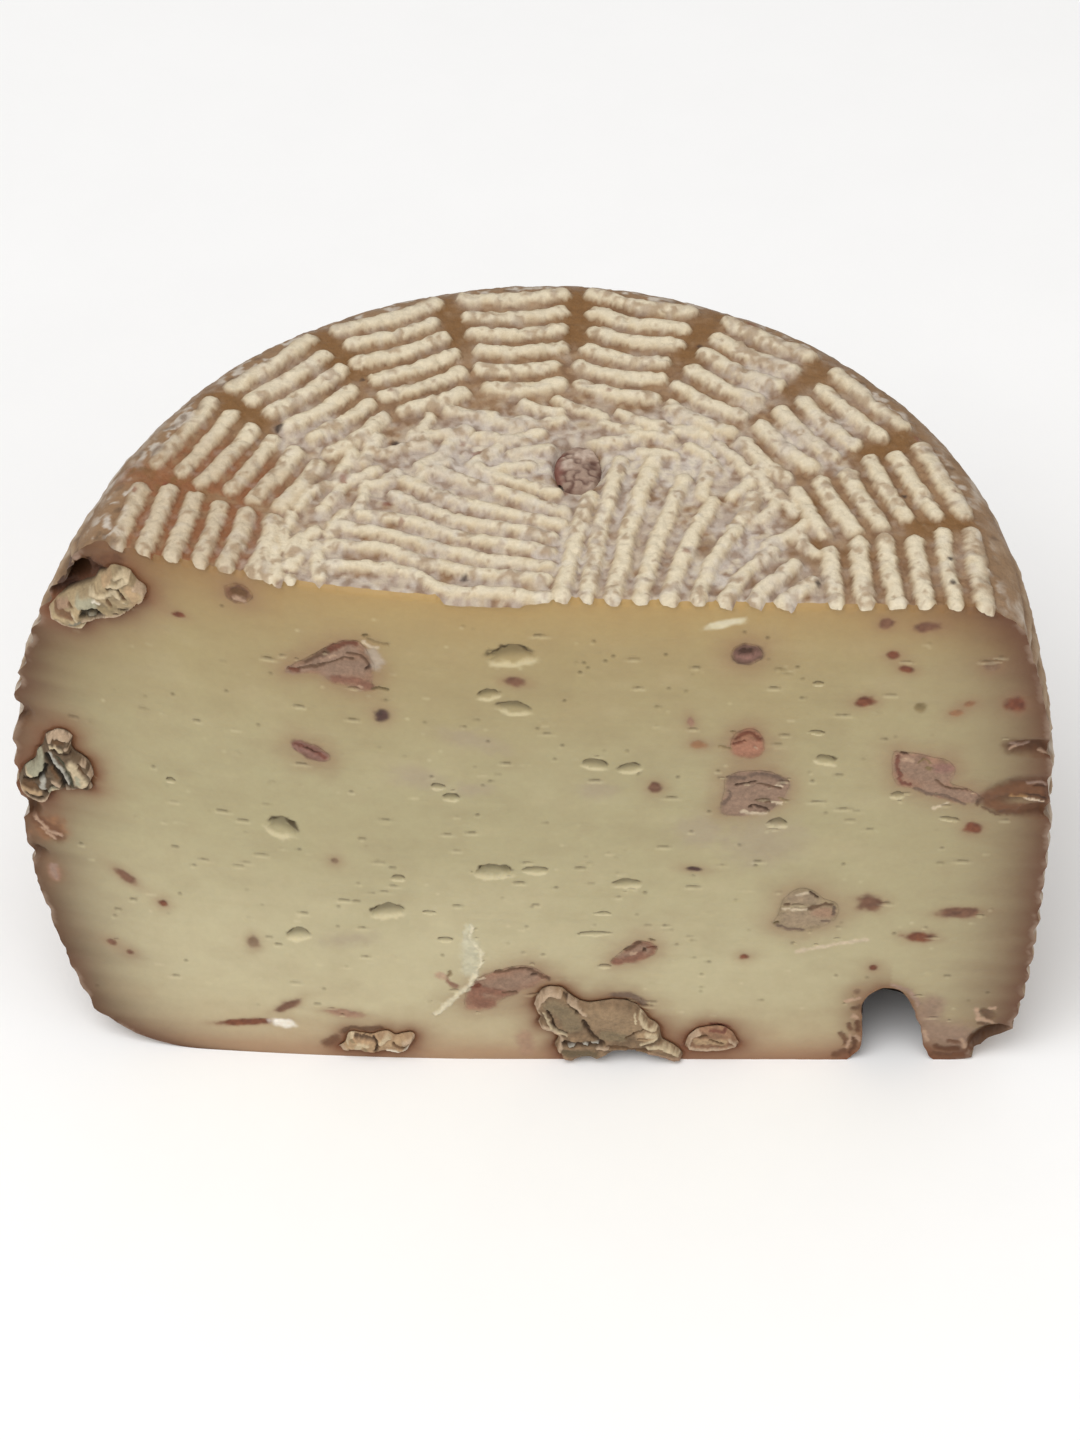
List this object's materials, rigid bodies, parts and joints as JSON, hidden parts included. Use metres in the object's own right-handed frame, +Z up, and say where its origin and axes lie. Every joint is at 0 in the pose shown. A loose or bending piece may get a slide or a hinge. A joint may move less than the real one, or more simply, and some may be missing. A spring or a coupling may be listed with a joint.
{
  "type": "cheese wheel half",
  "caption": "Half of a small basket-moulded ewe's-milk cheese wheel with walnut pieces in its paste, a ridged mouldy rind and a flat cut.",
  "frame": {"origin": "the wheel's axis where it meets the base, on the flat base", "axes": "+Z up along the wheel's axis, -Y out of the cut, +X to the right along the cut"},
  "size_m": [0.1719, 0.0924, 0.1113],
  "materials": {
    "cheese": "satin paste, dry mouldy rind",
    "walnut": "dry, craggy",
    "walnut_stained": "cut smooth, stained reddish brown"
  },
  "bodies": {
    "root": {"cheese": "cheese", "walnut_upper_left": "walnut", "walnut_left": "walnut", "walnut_base": "walnut", "walnut_base_left": "walnut", "walnut_base_right": "walnut", "walnut_right": "walnut_stained", "walnut_centre_right": "walnut_stained", "walnut_lower_right": "walnut_stained", "walnut_upper": "walnut_stained", "walnut_lower": "walnut_stained", "walnut_small_lower": "walnut_stained", "walnut_small_right": "walnut_stained", "walnut_dark": "walnut_stained", "walnut_slit": "walnut_stained", "walnut_top_left": "walnut_stained", "walnut_in_top": "walnut"}
  },
  "joints": []
}
